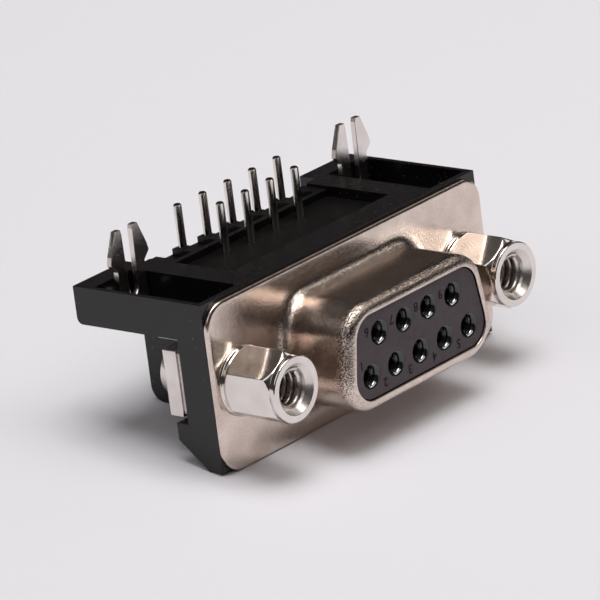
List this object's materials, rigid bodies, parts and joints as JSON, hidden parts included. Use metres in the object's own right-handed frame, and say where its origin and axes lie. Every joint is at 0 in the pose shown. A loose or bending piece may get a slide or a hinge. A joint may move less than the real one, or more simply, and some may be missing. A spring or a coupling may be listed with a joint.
{
  "type": "d-sub connector",
  "caption": "Right-angle board-mount D-shaped socket connector with a nickel shell, hexagon jackscrews, board locks and bent solder tails.",
  "frame": {"origin": "centre of the D shell in the plane of the flange's front face", "axes": "-Y is the mating direction, +Z points to the circuit board (solder tails up), X runs along the flange"},
  "size_m": [0.0308, 0.0184, 0.0166],
  "materials": {
    "nickel_shell": "satin nickel plate on drawn steel",
    "screw_metal": "nickel plate on turned steel",
    "strap_metal": "tin plate on stamped brass",
    "contact_metal": "tin plate on copper alloy",
    "face_plastic": "moulded, fine grain",
    "black_plastic": "moulded, satin"
  },
  "bodies": {
    "root": {"front_shell": "nickel_shell", "insulator_front": "face_plastic", "insulator_rear": "black_plastic", "bracket": "black_plastic", "tail_spacer": "black_plastic", "contact_1": "contact_metal", "contact_2": "contact_metal", "contact_3": "contact_metal", "contact_4": "contact_metal", "contact_5": "contact_metal", "contact_6": "contact_metal", "contact_7": "contact_metal", "contact_8": "contact_metal", "contact_9": "contact_metal", "jackscrew_left": "screw_metal", "jackscrew_right": "screw_metal", "ground_strap_left": "strap_metal", "ground_strap_right": "strap_metal", "clinch_nut_left": "strap_metal", "clinch_nut_right": "strap_metal"}
  },
  "joints": []
}
